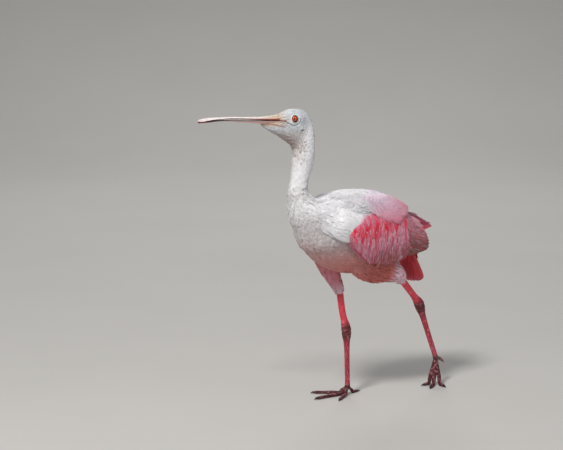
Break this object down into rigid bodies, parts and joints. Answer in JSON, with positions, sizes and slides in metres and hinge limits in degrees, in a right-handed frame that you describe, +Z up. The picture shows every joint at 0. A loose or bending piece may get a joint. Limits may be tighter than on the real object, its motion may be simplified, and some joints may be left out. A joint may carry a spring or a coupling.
{
  "type": "roseate spoonbill",
  "caption": "Life-size roseate spoonbill wading in mid-stride, neck upright, flat spoon-shaped bill held level, wings folded.",
  "frame": {"origin": "on the floor, under the middle of the bird's bounding box", "axes": "+Z up; the bird heads along -X and its left side is -Y"},
  "size_m": [0.5354, 0.1562, 0.5491],
  "materials": {
    "white_plumage": "soft, matt, slightly downy feathers",
    "rose_plumage": "soft, matt, downy feathers",
    "pink_plumage": "silky, matt feathers",
    "crimson_plumage": "silky, matt feathers",
    "face_skin": "bare and thinly feathered skin, matt",
    "bill_upper": "horny, satin",
    "bill_lower": "horny, satin",
    "eye": "wet, glossy",
    "leg_skin": "scaly skin, satin",
    "joint_skin": "scaly skin, satin",
    "claw": "horn, glossy"
  },
  "bodies": {
    "root": {"bill_lower": "bill_lower", "bill_upper": "bill_upper", "claw_left_hind": "claw", "claw_left_inner": "claw", "claw_left_middle": "claw", "claw_left_outer": "claw", "claw_right_hind": "claw", "claw_right_inner": "claw", "claw_right_middle": "claw", "claw_right_outer": "claw", "eye_left": "eye", "eye_right": "eye", "foot_left": "joint_skin", "foot_right": "joint_skin", "head": "face_skin", "hock_left": "joint_skin", "hock_right": "joint_skin", "neck_lower": "white_plumage", "neck_upper": "white_plumage", "shank_left": "leg_skin", "shank_right": "leg_skin", "tail": "crimson_plumage", "tarsus_left": "leg_skin", "tarsus_right": "leg_skin", "thigh_left": "rose_plumage", "thigh_right": "rose_plumage", "torso": "white_plumage", "wing_left": "pink_plumage", "wing_right": "pink_plumage"}
  },
  "joints": []
}
